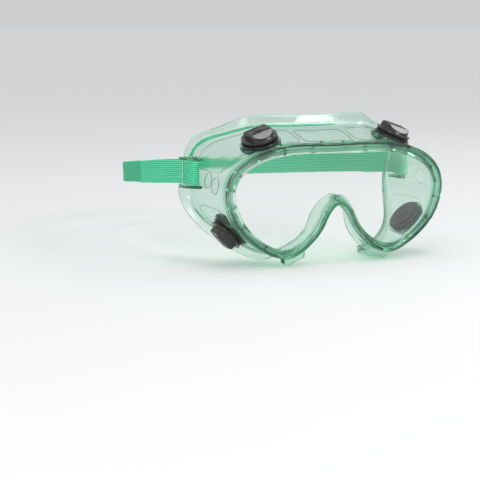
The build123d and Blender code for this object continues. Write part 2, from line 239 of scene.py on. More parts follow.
def block(name, size, bevel=0.3, segments=3):
    """Box with rounded edges about its own middle."""
    work = bmesh.new()
    bmesh.ops.create_cube(work, size=1.0)
    bmesh.ops.scale(work, vec=Vector(size) * MM, verts=work.verts)
    bmesh.ops.bevel(work, geom=work.edges, offset=bevel * MM, segments=segments, profile=0.5, affect="EDGES")
    return finished(name, work)


def lathe(name, profile, segments=96):
    """Solid of revolution about local Z from (radius, height) points; radius 0 ends close it."""
    rings, faces, points = [], [], []
    for radius, height in profile:
        if radius < 1e-6:
            rings.append([len(points)])
            points.append((0, 0, height))
        else:
            rings.append(list(range(len(points), len(points) + segments)))
            points += [
                (radius * math.cos(a), radius * math.sin(a), height)
                for a in np.linspace(0, 2 * math.pi, segments, endpoint=False)
            ]
    closed = len(rings[0]) > 1 and len(rings[-1]) > 1
    pairs = list(zip(rings, rings[1:])) + ([(rings[-1], rings[0])] if closed else [])
    for low, high in pairs:
        for j in range(segments):
            k = (j + 1) % segments
            corner = [low[j % len(low)], low[k % len(low)], high[k % len(high)], high[j % len(high)]]
            face = list(dict.fromkeys(corner))
            if len(face) > 2:
                faces.append(face)
    return outward(new_object(name, points, faces))


def rounded(points, radii, steps=4, closed=True):
    """Polyline in the plane with each corner turned into an arc-like curve of about the given reach."""
    points = [np.asarray(p, float) for p in points]
    out, count = [], len(points)
    for i, (corner, radius) in enumerate(zip(points, radii)):
        if not closed and i in (0, count - 1) or radius == 0:
            out.append(corner)
            continue
        before, after = points[i - 1] - corner, points[(i + 1) % count] - corner
        first = corner + before * min(radius / np.linalg.norm(before), 0.49)
        last = corner + after * min(radius / np.linalg.norm(after), 0.49)
        for t in np.linspace(0, 1, steps + 1):
            out.append((1 - t) ** 2 * first + 2 * t * (1 - t) * corner + t * t * last)
    return out


def prism(name, outline, low, high, bevel=0.4, segments=3):
    """Plate from an outline in local XY, with rounded edges."""
    work = bmesh.new()
    bottom = [work.verts.new((x * MM, y * MM, low * MM)) for x, y in outline]
    top = [work.verts.new((x * MM, y * MM, high * MM)) for x, y in outline]
    work.faces.new(bottom[::-1])
    work.faces.new(top)
    for i in range(len(outline)):
        k = (i + 1) % len(outline)
        work.faces.new((bottom[i], bottom[k], top[k], top[i]))
    rims = [e for e in work.edges if abs(e.verts[0].co.z - e.verts[1].co.z) < 1e-9]
    bmesh.ops.bevel(work, geom=rims, offset=bevel * MM, segments=segments, profile=0.5, affect="EDGES")
    bmesh.ops.recalc_face_normals(work, faces=work.faces)
    return finished(name, work)


# ---------------------------------------------------------------- the frame's ring
def row_y(back):
    """Row Y of a depth measured back from the lens middle."""
    return back - LENS_FORWARD


def lens_bend(x):
    """How far the bent lens lies back at a given x."""
    return LENS_SAG * (x / LENS_HALF_SPAN) ** 2


def ring_shares():
    """Distance round the whole rim outline to each station, left half then right half."""
    outline = np.array([s[0] for s in STATIONS])
    steps = np.hypot(*np.diff(outline, axis=0).T)
    half = np.concatenate([[0], np.cumsum(steps)])
    return np.concatenate([half, 2 * half[-1] - half[-2::-1]])


def ring_spline(half, shares, at):
    """Periodic cubic spline through one point per station and their mirror images."""
    half = np.asarray(half, float)
    back = half[-2::-1] * np.array([-1, 1, 1])
    points = np.concatenate([half, back])
    h = np.diff(shares)
    n = len(h)
    matrix, right = np.zeros((n, n)), np.zeros((n, 3))
    slope = np.diff(points, axis=0) / h[:, None]
    for i in range(n):
        before = (i - 1) % n
        matrix[i, before] += h[before]
        matrix[i, i] += 2 * (h[before] + h[i])
        matrix[i, (i + 1) % n] += h[i]
        right[i] = 6 * (slope[i] - slope[before])
    second = np.linalg.solve(matrix, right)
    at = np.mod(at, shares[-1])
    k = np.clip(np.searchsorted(shares, at, side="right") - 1, 0, n - 1)
    a, b = (at - shares[k])[:, None], (shares[k + 1] - at)[:, None]
    step, m0, m1 = h[k][:, None], second[k], second[(k + 1) % n]
    return (
        m0 * b ** 3 / (6 * step) + m1 * a ** 3 / (6 * step)
        + (points[k] / step - m0 * step / 6) * b + (points[k + 1] / step - m1 * step / 6) * a
    )


SHARES = ring_shares()
RING_LENGTH = SHARES[-1]
RING_AT = np.linspace(0, RING_LENGTH, int(RING_LENGTH / RING_STEP), endpoint=False)


def outline_at(at):
    """Rim outline points, tangents and outward normals at shares."""
    half = [(x, 0, z) for (x, z), _, _ in STATIONS]
    at = np.asarray(at, float)
    middle = ring_spline(half, SHARES, at)
    tangent = ring_spline(half, SHARES, at + 0.05) - ring_spline(half, SHARES, at - 0.05)
    tangent /= np.linalg.norm(tangent, axis=1)[:, None]
    normal = np.stack([-tangent[:, 2], np.zeros(len(at)), tangent[:, 0]], 1)
    return middle, tangent, normal


def share_near(x, z):
    """Share of the rim outline's point nearest to x, z."""
    middle, _, _ = outline_at(RING_AT)
    return RING_AT[np.argmin(np.hypot(middle[:, 0] - x, middle[:, 2] - z))]


def station_normals():
    """Outward normals of the rim outline at the stations."""
    _, _, normal = outline_at(SHARES[:len(STATIONS)])
    return normal


def inner_corner(before, corner, after):
    """The corner moved inwards by the wall thickness, for a wall bent at that corner."""
    def inward_normal(a, b):
        out, back = b[0] - a[0], b[1] - a[1]
        size = math.hypot(out, back)
        return -back / size, out / size
    first, second = inward_normal(before, corner), inward_normal(corner, after)
    stretch = WALL / (1 + first[0] * second[0] + first[1] * second[1])
    return corner[0] + stretch * (first[0] + second[0]), corner[1] + stretch * (first[1] + second[1])


# Corners of the section that follow the lens: (outwards, back, rounding, divisions to the next one).
# The inner edges of the front and rear lips, written as -1, are scaled by each lip's reach.
RIM_OUTER = [
    (-1.0, -GROOVE, 0.2, 2),
    (-1.0, -GROOVE - 1.4, 0.5, 3),
    (-2.8, -GROOVE - 1.75, 0.3, 1),
    (-2.3, -GROOVE - 2.55, 0.5, 1),
    (-0.5, -GROOVE - 2.6, 0.6, 1),
    (0.0, -GROOVE - 1.3, 0.4, 1),
    (-0.5, -GROOVE - 0.4, 0.3, 1),
    (-0.5, 0.7, 0.3, 1),
    (0.0, 1.4, 0.4, 2),
    (0.0, RIM_BACK, 0.6, 1),
    (-WALL_INSET, WALL_START, 0.9, 30),
]
RIM_INNER = [
    (-WALL_INSET - WALL, WALL_START, 0.8, 2),
    (-1.0, RIM_BACK - 0.6, 0.4, 2),
    (-1.0, GROOVE, 0.2, 2),
    (-GROOVE_FLOOR, GROOVE, 0.15, 1),
    (-GROOVE_FLOOR, -GROOVE, 0.15, 2),
]
FLANGE = [(3.0, 10), (0.7, 1), (0.7, 6), (2.0, 12)]   # crease, edge, edge inside, crease inside
FRONT_EDGE, REAR_EDGE = (0, 1), (1, 2)    # the corners on the inner edges of the front and rear lips
WALL_CORNER = len(RIM_OUTER) - 1


def section_corners(station, normal, lip):
    """Corners of the frame's section at one station, in the row frame."""
    (x, z), crease, edge = station
    crease_in = inner_corner((-WALL_INSET, WALL_START), crease, edge)
    size = math.hypot(edge[0] - crease[0], edge[1] - crease[1])
    edge_in = (edge[0] - WALL * (edge[1] - crease[1]) / size, edge[1] + WALL * (edge[0] - crease[0]) / size)

    def place(out, back, bends):
        px, pz = x + normal[0] * out, z + normal[2] * out
        return px, row_y(back + (lens_bend(px) if bends else 0)), pz

    def rim(corners, lip_edge, reach):
        """Rim corners in place, those on a lip's inner edge moved in by its reach."""
        return [place(c[0] * (reach if i in lip_edge else 1), c[1], True) for i, c in enumerate(corners)]

    flange = [place(*corner, False) for corner in (crease, edge, edge_in, crease_in)]
    rear_lip = WALL_INSET + WALL + REAR_LIP * (lip - WALL_INSET - WALL)
    return rim(RIM_OUTER, FRONT_EDGE, lip) + flange + rim(RIM_INNER, REAR_EDGE, rear_lip)


# Outlines of the shallow panels moulded into the side wall, drawn as fine beads. Each runs between two
# places x, z on the rim outline and two shares of the wall's depth, with its corner radius.
WALL_PANELS = [
    ((20.5, 34), (76.5, 16), (0.12, 0.88), 6.5),
    ((77.5, -9), (44.0, -38), (0.14, 0.88), 6.5),
]
BROW_PANEL = (17.5, (0.16, 0.84), 4.0)     # half length, shares, corner radius
OVALS = [((79.5, 8.0), 0.24, 5.9, 5.6), ((79.0, 10.5), 0.47, 5.4, 5.2)]    # place, share, half sizes
BEAD_R = 0.24


def panel_outline(first, last, shares, corner, depth):
    """Closed outline as (distance round the ring, share of the wall's depth)."""
    low, high = (share * depth for share in shares)
    corners = [(first, low), (last, low), (last, high), (first, high)]
    return [(at, across / depth) for at, across in rounded(corners, [corner] * 4, 8)]


def oval_outline(place, share, half_along, half_across, depth):
    """Closed oval outline as (distance round the ring, share of the wall's depth)."""
    middle = share_near(*place)
    return [
        (middle + half_along * math.cos(a), share + half_across / depth * math.sin(a))
        for a in np.linspace(0, 2 * math.pi, 40, endpoint=False)
    ]


def panel_outlines(wall):
    """Every outline on the wall, given its grid of points (round the ring, across the depth)."""
    depth = np.linalg.norm(wall[:, -1] - wall[:, 0], axis=1)

    def depth_at(at):
        return depth[int(at / RING_LENGTH * len(wall)) % len(wall)]

    outlines = []
    for start, end, shares, corner in WALL_PANELS:
        first, last = share_near(*start), share_near(*end)
        outlines.append(panel_outline(first, last, shares, corner, depth_at((first + last) / 2)))
    for oval in OVALS:
        outlines.append(oval_outline(*oval, depth_at(share_near(*oval[0]))))
    outlines += [[(RING_LENGTH - at, share) for at, share in outline] for outline in outlines]
    half, shares, corner = BROW_PANEL
    return outlines + [panel_outline(-half, half, shares, corner, depth_at(0))]


def on_wall(wall, at, share):
    """Point of the wall's outside at a distance round the ring and a share of its depth."""
    rows, steps = len(wall), wall.shape[1] - 1
    row, column = at / RING_LENGTH * rows % rows, share * steps
    i, j = int(row), int(column)
    a, b = row - i, column - j
    near, far = wall[i % rows], wall[(i + 1) % rows]
    return (1 - a) * ((1 - b) * near[j] + b * near[j + 1]) + a * ((1 - b) * far[j] + b * far[j + 1])


def bead(wall, outline):
    """Fine round bead lying half sunk in the wall along a closed outline."""
    closed = outline + outline[:1]
    corners = np.array([on_wall(wall, *place) for place in closed])
    lengths = np.linalg.norm(np.diff(corners, axis=0), axis=1)
    places = []
    for (first, second), length in zip(zip(closed, closed[1:]), lengths):
        for t in np.linspace(0, 1, max(round(length / 0.9), 1), endpoint=False):
            places.append(on_wall(wall, *((1 - t) * np.array(first) + t * np.array(second))))
    line = np.array(places)
    tangent = np.roll(line, -1, 0) - np.roll(line, 1, 0)
    tangent /= np.linalg.norm(tangent, axis=1)[:, None]
    plane = np.linalg.svd(line - line.mean(0))[2][2]
    across = np.cross(tangent, plane)
    across /= np.linalg.norm(across, axis=1)[:, None]
    up = np.cross(across, tangent)
    turn = np.linspace(0, 2 * math.pi, 8, endpoint=False)
    rings = [line + BEAD_R * (math.cos(a) * across + math.sin(a) * up) for a in turn]
    grid = np.stack(rings, 1)
    return outward(new_object("bead", grid.reshape(-1, 3), grid_faces(*grid.shape[:2], True, True)))


def shell():
    """Rim, side wall and face flange as one closed ring with rounded corners."""
    half = [section_corners(*place) for place in zip(STATIONS, station_normals(), LIP_REACHES)]
    corners = [ring_spline(points, SHARES, RING_AT) for points in zip(*half)]
    reach = [r for _, _, r, _ in RIM_OUTER] + [r for r, _ in FLANGE] + [r for _, _, r, _ in RIM_INNER]
    parts = [n for _, _, _, n in RIM_OUTER] + [n for _, n in FLANGE] + [n for _, _, _, n in RIM_INNER]
    count, columns, wall = len(corners), [], None
    starts, ends = [], []
    for i, corner in enumerate(corners):
        before, after = corners[i - 1] - corner, corners[(i + 1) % count] - corner
        for side, found in ((before, starts), (after, ends)):
            share = np.minimum(reach[i] / np.linalg.norm(side, axis=1), 0.45)[:, None]
            found.append(corner + side * share)
    for i, corner in enumerate(corners):
        steps = 6 if reach[i] > 1.5 else 4 if reach[i] > 0.25 else 2
        for t in np.linspace(0, 1, steps + 1):
            columns.append((1 - t) ** 2 * starts[i] + 2 * t * (1 - t) * corner + t * t * ends[i])
        following = starts[(i + 1) % count]
        if i == WALL_CORNER:
            wall = len(columns) - 1
        for t in np.linspace(0, 1, parts[i] + 1)[1:-1]:
            columns.append((1 - t) * ends[i] + t * following)
    grid = np.stack(columns, 1)
    side_wall = grid[:, wall:wall + parts[WALL_CORNER] + 1]
    faces = grid_faces(*grid.shape[:2], True, True)
    ring = outward(new_object("frame_body_look", grid.reshape(-1, 3), faces))
    beads = [bead(side_wall, outline) for outline in panel_outlines(side_wall)]
    return boolean(ring, join("beads", beads), "UNION")


# ---------------------------------------------------------------- vents
def vent_axes(tag):
    """Seat middle in millimetres and local axes of a vent, from its cap's joint."""
    joint = next(j for j in frame["joints"] if j["name"] == f"cap_turn_{tag}")
    z_dir = Vector(joint["axis"]).normalized()
    across = Vector((0, 1, 0))
    x_dir = (across - z_dir * across.dot(z_dir)).normalized()
    return np.array(joint["pos_m"]) / MM, x_dir, z_dir.cross(x_dir), z_dir


VENTS = [f"{place}_{hand}" for place in ("top", "low") for hand in ("left", "right")]


def lathed(name, points, radii, segments=96, steps=4, closed=True):
    """Solid of revolution with rounded corners."""
    return lathe(name, [tuple(p) for p in rounded(points, radii, steps, closed)], segments)


def button(name, radius, low, high, segments=24):
    """Disc with a rounded top edge."""
    outline = [(0, low), (radius, low), (radius, high), (0, high)]
    return lathed(name, outline, [0, 0, 0.25, 0], segments, 3, False)


def vent_seat():
    """Flat boss on the wall under a vent."""
    outline = [(0, -VENT_SEAT_DEPTH), (VENT_SEAT_R, -VENT_SEAT_DEPTH), (VENT_SEAT_R, 0), (0, 0)]
    return lathed("seat", outline, [0, 0.6, 0.8, 0], closed=False)


def vent_hole():
    """Cutter for the tube's hole and the retainer's pocket."""
    deep, pocket = -VENT_SEAT_DEPTH - VENT_SWEEP, -VENT_SEAT_DEPTH - RETAINER_HEIGHT
    wide = RETAINER_R + POCKET_GAP
    outline = [
        (0, deep), (VENT_HOLE_R, deep), (VENT_HOLE_R, pocket), (wide, pocket),
        (wide, -VENT_SEAT_DEPTH), (VENT_HOLE_R, -VENT_SEAT_DEPTH), (VENT_HOLE_R, VENT_SWEEP), (0, VENT_SWEEP),
    ]
    return lathe("hole", outline)


def vent_body(tag):
    """Flange on the seat, tube through the wall and the comb of air slots under the cap."""
    profile = [
        (TUBE_BORE, -TUBE_LENGTH), (TUBE_R, -TUBE_LENGTH), (TUBE_R, 0.0),
        (VENT_FLANGE_R, 0.0), (VENT_FLANGE_R, VENT_FLANGE), (TUBE_BORE, VENT_FLANGE),
    ]
    pieces = [lathed("flange", profile, [0.2, 0.4, 0.05, 0.35, 0.5, 0.2])]
    for i in range(COMB_COUNT):
        tooth = block("tooth", COMB_TOOTH, 0.12, 1)
        tooth.data.transform(Matrix.Translation((COMB_R * MM, 0, COMB_HEIGHT * MM)))
        tooth.data.transform(Matrix.Rotation(2 * math.pi * i / COMB_COUNT, 4, "Z"))
        pieces.append(tooth)
    throat = [(TUBE_BORE, 1.4), (8.6, 1.4), (8.6, 2.98), (TUBE_BORE, 2.98)]
    pieces.append(lathed("throat", throat, [0.1] * 4, 64, 2))
    return join(f"vent_body_look_{tag}", pieces)


CAP_BASE, CAP_TOP = 3.05, 8.6
CAP_BRIM_R, CAP_BRIM = 11.7, 1.2
CAP_DOME_R, CAP_FLAT = 10.5, 7.9
CAP_BAND, CAP_SLOPE, CAP_CREASE = 4.4, 0.52, 0.35    # level band's half width, slope beside it, rounding
CAP_FILLET, CAP_SHARP = 0.45, 14.0    # top edge's rounding; how tightly round side meets grip side
CAP_RIDGES, CAP_RIDGE = (-3.9, -3.0, 3.0, 3.9), (0.42, 12.6, 0.6)


def cap_height(x):
    """Top surface: a level band with a slope down to each round side."""
    beyond = np.maximum(np.abs(x) - CAP_BAND + CAP_CREASE / 2, 0)
    bend = np.minimum(beyond, CAP_CREASE)
    return CAP_TOP - CAP_SLOPE * (bend ** 2 / (2 * CAP_CREASE) + np.maximum(beyond - CAP_CREASE, 0))


def cap_radius(angle, round_r):
    """Outline of the dome: round, with two level grip sides."""
    side = CAP_FLAT / np.maximum(np.abs(np.sin(angle)), 1e-6)
    return (round_r ** -CAP_SHARP + side ** -CAP_SHARP) ** (-1 / CAP_SHARP)


def vent_cap(tag):
    """Cap with a thin brim, round sloping side, two grip sides and a ridged top."""
    count = 144
    angle = np.linspace(0, 2 * math.pi, count, endpoint=False)
    rows = []

    def circle(radius, height):
        rows.append(np.stack([radius * np.cos(angle), radius * np.sin(angle), np.full(count, height)], 1))

    brim_top = CAP_BASE + CAP_BRIM
    under = [(0.02, CAP_TOP - 2.2), (6.4, CAP_TOP - 2.2), (6.7, CAP_TOP - 2.5), (6.7, CAP_BASE)]
    brim = [(CAP_BRIM_R - 0.3, CAP_BASE), (CAP_BRIM_R, CAP_BASE + 0.3), (CAP_BRIM_R, brim_top - 0.35),
            (CAP_BRIM_R - 0.1, brim_top - 0.12), (CAP_BRIM_R - 0.35, brim_top)]
    for radius, height in under + brim:
        circle(radius, height)
    base = cap_radius(angle, CAP_DOME_R)
    wall_top = cap_radius(angle, CAP_DOME_R - 0.6)
    direction = np.stack([np.cos(angle), np.sin(angle)], 1)
    edge_height = cap_height(wall_top * np.cos(angle))
    rows.append(np.concatenate([direction * (base + 0.25)[:, None], np.full((count, 1), brim_top)], 1))
    rows.append(np.concatenate([direction * (base + 0.05)[:, None], np.full((count, 1), brim_top + 0.2)], 1))
    for t in np.linspace(0.08, 1, 7):
        radius = base + (wall_top - base) * t
        height = brim_top + 0.2 + (edge_height - CAP_FILLET - brim_top - 0.2) * t
        rows.append(np.concatenate([direction * radius[:, None], height[:, None]], 1))
    for turn in np.radians([22, 45, 68, 90]):
        radius = wall_top - CAP_FILLET * (1 - math.cos(turn))
        level = cap_height(radius * np.cos(angle))
        height = level - CAP_FILLET * (1 - math.sin(turn))
        rows.append(np.concatenate([direction * radius[:, None], height[:, None]], 1))
    for share in np.linspace(0.96, 0.0, 41)[:-1]:
        radius = (wall_top - CAP_FILLET) * share
        level = cap_height(radius * np.cos(angle))
        rows.append(np.concatenate([direction * radius[:, None], level[:, None]], 1))
    circle(0.02, CAP_TOP)
    points = np.concatenate(rows)
    faces = grid_faces(len(rows), count, False, True)
    faces += [tuple(range(count))[::-1], tuple(range(len(points) - count, len(points)))]
    pieces = [outward(new_object("dome", points, faces))]
    for x in CAP_RIDGES:
        ridge = block("ridge", CAP_RIDGE, 0.16, 2)
        ridge.data.transform(Matrix.Translation((x * MM, 0, (CAP_TOP - 0.08) * MM)))
        pieces.append(ridge)
    badge = button("badge", 2.1, CAP_TOP - 0.5, CAP_TOP + 0.3, 48)
    badge.data.transform(Matrix.Scale(1.7, 4, (0, 1, 0)))
    stud = button("stud", 0.7, CAP_TOP, CAP_TOP + 0.5, 32)
    return join(f"vent_cap_look_{tag}", pieces + [badge, stud])


def vent_retainer(tag):
    """Ring pressed on the tube inside the frame."""
    low = -VENT_SEAT_DEPTH - RETAINER_HEIGHT
    high = low + RETAINER_HEIGHT
    profile = [(RETAINER_BORE, low), (RETAINER_R, low), (RETAINER_R, high), (RETAINER_BORE, high)]
    return lathed(f"vent_retainer_look_{tag}", profile, [0.35, 0.7, 0.2, 0.1])


def vent_baffle(tag):
    """Dished disc with a raised cross, studs between its arms and a rolled edge."""
    low, high, rim = BAFFLE_LOW, BAFFLE_LOW + BAFFLE_THICKNESS, BAFFLE_LOW - BAFFLE_ROLL
    profile = [(0, low), (5.9, low), (6.3, rim), (7.3, rim), (7.55, low), (7.55, high), (0, high)]
    pieces = [lathed("dish", profile, [0, 0.2, 0.25, 0.25, 0.2, 0.2, 0], closed=False)]
    for turn in (0, 90):
        arm = block("arm", BAFFLE_ARM, 0.2, 2)
        arm.data.transform(Matrix.Translation((0, 0, (low - BAFFLE_ARM_SINK) * MM)))
        arm.data.transform(Matrix.Rotation(math.radians(turn + 45), 4, "Z"))
        pieces.append(arm)
    ring = BAFFLE_STUD_RING * MM
    for i in range(BAFFLE_STUDS):
        stud = button("stud", BAFFLE_STUD_R, low + 0.2, low - 0.4)
        turn = 2 * math.pi * i / BAFFLE_STUDS
        stud.data.transform(Matrix.Translation((ring * math.cos(turn), ring * math.sin(turn), 0)))
        pieces.append(stud)
    return join(f"vent_baffle_look_{tag}", pieces)


# ---------------------------------------------------------------- frame details
def lip_at(share):
    """Reach of the front lip at a share of the ring."""
    return np.interp(share, SHARES, LIP_REACHES + LIP_REACHES[-2::-1])


def peg(share):
    """Peg through the lens, from the rim to just short of the lips' inner edge."""
    root, tip = GROOVE_FLOOR - PEG_ROOT, lip_at(share) - PEG_SHORT
    return rim_block(share, (PEG_WIDTH, tip - root, 2 * PEG_HALF), -(root + tip) / 2, PEG_BACK)


def rim_block(share, size, out, back, bevel=0.25):
    """Rounded block on the rim: size (along, outwards, back) about a place on the section."""
    middle, tangent, normal = (v[0] for v in outline_at([share]))
    made = block("rim_block", size, bevel, 2)
    x = middle[0] + normal[0] * out
    origin = (x, row_y(back + lens_bend(x)), middle[2] + normal[2] * out)
    return placed(made, origin, tangent, normal, (0, 1, 0))


def both_sides(places):
    """Shares of places on the wearer's left and of their mirror images."""
    shares = [share_near(x, z) for x, z in places]
    return shares + [RING_LENGTH - s for s in shares]


def strap_loop(side):
    """Two rails, the bar the strap turns round and the keeper bar, on one side wall."""
    bar_x, bar_back = LOOP_BAR
    keeper_x, keeper_back = KEEPER_BAR
    half = BAND_WIDTH / 2 + LOOP_RAIL_GAP
    front, rear = bar_back - LOOP_MARGIN, keeper_back + LOOP_REAR_MARGIN
    corners = [
        (LOOP_ROOT_X, row_y(front)), (bar_x, row_y(front)),
        (keeper_x + KEEPER_BAR_R, row_y(keeper_back - LOOP_SLANT_END)),
        (keeper_x + KEEPER_BAR_R, row_y(rear)),
        (LOOP_ROOT_X, row_y(rear)),
    ]
    outline = rounded(corners, [0, 1.6, 1.4, 1.0, 0])
    pieces = []
    for low in (-half - LOOP_RAIL, half):
        pieces.append(prism("rail", outline, BAND_Z + low, BAND_Z + low + LOOP_RAIL, 0.45))
    for (x, back), radius in ((LOOP_BAR, LOOP_BAR_R), (KEEPER_BAR, KEEPER_BAR_R)):
        reach = half + LOOP_RAIL / 2
        bar = lathe("bar", [(0, -reach), (radius, -reach), (radius, reach), (0, reach)], 40)
        bar.data.transform(Matrix.Translation((x * MM, row_y(back) * MM, BAND_Z * MM)))
        pieces.append(bar)
    if side < 0:
        for piece in pieces:
            piece.data.transform(Matrix.Scale(-1, 4, (1, 0, 0)))
            piece.data.flip_normals()
    return pieces


def grip_tab(side):
    """Flat plate under the rim beside the nose, its outer end turned forward."""
    outline = rounded(TAB_OUTLINE, [0.9, 0.9, 1.2, 1.2, 0, 0])
    plate = prism("tab", [(x * side, z) for x, z in outline], -TAB_THICKNESS / 2, TAB_THICKNESS / 2, 0.4)
    x, back = TAB_MIDDLE
    turn = math.radians(TAB_TURN)
    along, through = (math.cos(turn), -side * math.sin(turn), 0), (-side * math.sin(turn), -math.cos(turn), 0)
    return placed(plate, (x * side, row_y(back), 0), along, (0, 0, 1), through)


def frame_body():
    """The whole frame moulding."""
    body = shell()
    for tag in VENTS:
        body = boolean(body, placed(vent_seat(), *vent_axes(tag)), "UNION")
    for share in both_sides(PEGS):
        body = boolean(body, peg(share), "UNION")
    for share in both_sides(RIM_BLOCKS):
        stud = rim_block(share, RIM_BLOCK_SIZE, RIM_BLOCK_OUT, RIM_BLOCK_BACK)
        body = boolean(body, stud, "UNION")
    for side in (1, -1):
        for piece in strap_loop(side) + [grip_tab(side)]:
            body = boolean(body, piece, "UNION")
    for tag in VENTS:
        body = boolean(body, placed(vent_hole(), *vent_axes(tag)), "DIFFERENCE")
    return smooth(body, 40)


def lens():
    """Bent sheet in columns across its width, with a notch at each peg."""
    inset = GROOVE_FLOOR + EDGE_GAP
    middle, _, normal = outline_at(np.linspace(0, RING_LENGTH, 2000, endpoint=False))
    edge = middle - normal * inset
    half = len(edge) // 2
    left = edge[:half + 1]
    widest = np.argmax(left[:, 0])
    reach = left[widest, 0]
    top, low = left[:widest + 1], left[widest:][::-1]
    x = reach * np.sin(np.linspace(-math.pi / 2, math.pi / 2, 121))[1:-1]
    high_z = np.interp(np.abs(x), np.maximum.accumulate(top[:, 0]), top[:, 2])
    low_z = np.interp(np.abs(x), np.maximum.accumulate(low[:, 0]), low[:, 2])
    rows = 24
    share = np.linspace(0, 1, rows)[:, None]
    grid_x, grid_z = np.broadcast_to(x, (rows, len(x))), low_z + (high_z - low_z) * share
    sheets = []
    for face in (-1, 1):
        depth = row_y(lens_bend(grid_x) + face * LENS_THICKNESS / 2)
        sheets.append(np.stack([grid_x, depth, grid_z], 2).reshape(-1, 3))
    count, wide = len(sheets[0]), len(x)
    faces = grid_faces(rows, wide) + [f[::-1] for f in grid_faces(rows, wide, start=count)]
    rim = [(0, j) for j in range(wide)] + [(i, wide - 1) for i in range(1, rows)]
    rim += [(rows - 1, j) for j in range(wide - 2, -1, -1)] + [(i, 0) for i in range(rows - 2, 0, -1)]
    loop = [i * wide + j for i, j in rim]
    faces += [(a, b, b + count, a + count) for a, b in zip(loop, loop[1:] + loop[:1])]
    sheet = outward(new_object("lens_look", np.concatenate(sheets), faces))
    wide_notch = PEG_WIDTH + 2 * NOTCH_GAP
    for at in both_sides(PEGS):
        deep = lip_at(at) - NOTCH_SHORT
        cutter = rim_block(at, (wide_notch, deep + NOTCH_OUT, NOTCH_LENGTH), (NOTCH_OUT - deep) / 2, 0, 0.05)
        sheet = boolean(sheet, cutter, "DIFFERENCE")
    return smooth(sheet, 30)


# ---------------------------------------------------------------- headband
def hermite(start, start_slope, end, end_slope, spacing):
    """Curve between two plan points with given directions, as points about a spacing apart."""
    start, end = np.array(start, float), np.array(end, float)
    chord = np.linalg.norm(end - start)
    a, b = (np.array(v, float) / np.linalg.norm(v) * chord for v in (start_slope, end_slope))
    t = np.linspace(0, 1, max(int(chord / spacing), 4) + 1)[:, None]
    return (
        (2 * t ** 3 - 3 * t ** 2 + 1) * start + (t ** 3 - 2 * t ** 2 + t) * a
        + (-2 * t ** 3 + 3 * t ** 2) * end + (t ** 3 - t ** 2) * b
    )


def strap_path():
    """Middle line of the whole strap in plan, from one free end to the other."""
    bar_x, bar_back = LOOP_BAR
    turn_r = LOOP_BAR_R + STRAP_ON_BAR + BAND_THICKNESS / 2
    stack = BAND_THICKNESS + LAYER_GAP
    leave = (FLEX_SLOPE, 1)
    y = row_y
    side = hermite((FLEX_X, y(FLEX_LINE)), leave, (BACK_HALF_WIDTH, y(BACK_WIDEST)), (0, 1), 2.0)
    direction = np.gradient(side, axis=0)
    direction /= np.linalg.norm(direction, axis=1)[:, None]
    tail = side + stack * np.stack([direction[:, 1], -direction[:, 0]], 1)
    tail = tail[side[:, 1] <= y(TAIL_END)]
    lift = np.clip((tail[:, 1] - y(TAIL_END) + TAIL_LIFT_RUN) / TAIL_LIFT_RUN, 0, 1)
    tail[:, 0] += TAIL_LIFT * lift ** 2
    outer = hermite((bar_x + turn_r, y(bar_back)), (0, 1), tail[0], leave, 1.2)
    under = hermite((bar_x - turn_r, y(bar_back)), (0, 1), (FLEX_X, y(FLEX_LINE)), leave, 1.2)
    angle = np.linspace(0, math.pi, 12)[1:-1]
    turn = np.stack([bar_x + turn_r * np.cos(angle), y(bar_back) - turn_r * np.sin(angle)], 1)
    angle = np.linspace(0, math.pi / 2, 64)[1:]
    reach = BACK_END - BACK_WIDEST
    back = np.stack([BACK_HALF_WIDTH * np.cos(angle), y(BACK_WIDEST) + reach * np.sin(angle)], 1)
    doubled = np.concatenate([tail[:0:-1], outer[::-1], turn, under[:-1]])
    half = np.concatenate([doubled, side, back])
    # Stretch share: 0 on the doubled ends, 1 round the back of the head. It narrows the strap, and the
    # strap's material also uses it to paint shade along that part.
    share = np.clip((np.arange(len(half)) - len(doubled)) / 8, 0, 1)
    return np.concatenate([half, half[-2::-1] * np.array([-1, 1])]), np.concatenate([share, share[-2::-1]])


